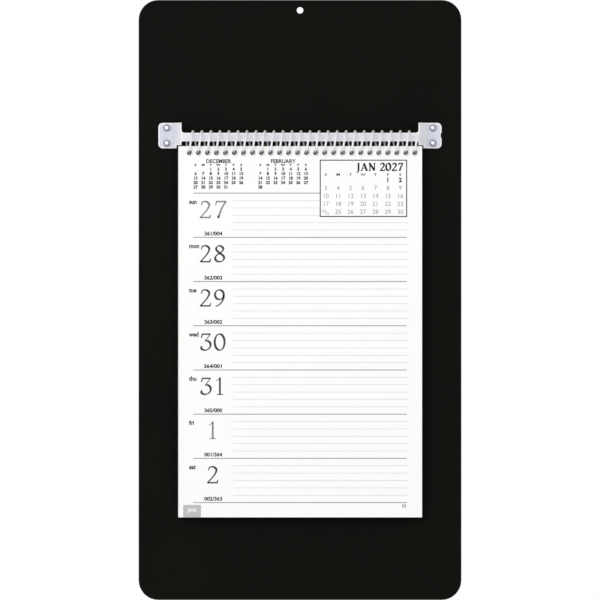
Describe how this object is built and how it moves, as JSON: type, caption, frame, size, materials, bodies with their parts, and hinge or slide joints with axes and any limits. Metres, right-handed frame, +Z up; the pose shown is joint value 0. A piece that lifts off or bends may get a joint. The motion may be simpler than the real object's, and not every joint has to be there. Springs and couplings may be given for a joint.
{
  "type": "weekly memo calendar",
  "caption": "Wall-hung weekly memo calendar: a coil-bound pad of week leaves that turn up, hung on a plastic strap riveted to a tall black board with a hang hole.",
  "frame": {"origin": "centre of the hang hole, in the plane of the board's back face, which lies on the wall", "axes": "+Z up along the board's height, +X to the right as the reader sees it, +Y into the wall"},
  "size_m": [0.2254, 0.0197, 0.4191],
  "materials": {
    "board_core": "matte",
    "board_cover": "matte",
    "milky_plastic": "satin",
    "nickel": "polished",
    "clear_plastic": "gloss",
    "paper": "matte",
    "chipboard": "matte"
  },
  "bodies": {
    "board": {"backboard_core": "board_core", "backboard_front_sheet": "board_cover", "backboard_back_sheet": "board_cover", "hanger_strap": "milky_plastic", "rivet_upper_left": "nickel", "rivet_lower_left": "nickel", "rivet_upper_right": "nickel", "rivet_lower_right": "nickel"},
    "pad": {"binding_coil": "clear_plastic", "leaf_block_front": "paper", "leaf_block_middle": "paper", "leaf_block_back": "paper", "pad_backing": "chipboard"},
    "leaf_1": {"week_leaf_1": "paper"},
    "leaf_2": {"week_leaf_2": "paper"},
    "leaf_3": {"week_leaf_3": "paper"},
    "leaf_4": {"week_leaf_4": "paper"},
    "leaf_5": {"week_leaf_5": "paper"}
  },
  "joints": [
    {"name": "pad_swing", "type": "hinge", "parent": "board", "child": "pad", "pos_m": [0, -0.01175, -0.08616], "axis": [-1, 0, 0], "range_deg": [-1, 45]},
    {"name": "leaf_5_turn", "type": "hinge", "parent": "pad", "child": "leaf_5", "pos_m": [0, -0.01175, -0.09235], "axis": [-1, 0, 0], "range_deg": [0, 5]},
    {"name": "leaf_4_turn", "type": "hinge", "parent": "leaf_5", "child": "leaf_4", "pos_m": [0, -0.01175, -0.09235], "axis": [-1, 0, 0], "range_deg": [0, 7]},
    {"name": "leaf_3_turn", "type": "hinge", "parent": "leaf_4", "child": "leaf_3", "pos_m": [0, -0.01175, -0.09235], "axis": [-1, 0, 0], "range_deg": [0, 9]},
    {"name": "leaf_2_turn", "type": "hinge", "parent": "leaf_3", "child": "leaf_2", "pos_m": [0, -0.01175, -0.09235], "axis": [-1, 0, 0], "range_deg": [0, 14]},
    {"name": "leaf_1_turn", "type": "hinge", "parent": "leaf_2", "child": "leaf_1", "pos_m": [0, -0.01175, -0.09235], "axis": [-1, 0, 0], "range_deg": [0, 70]}
  ]
}
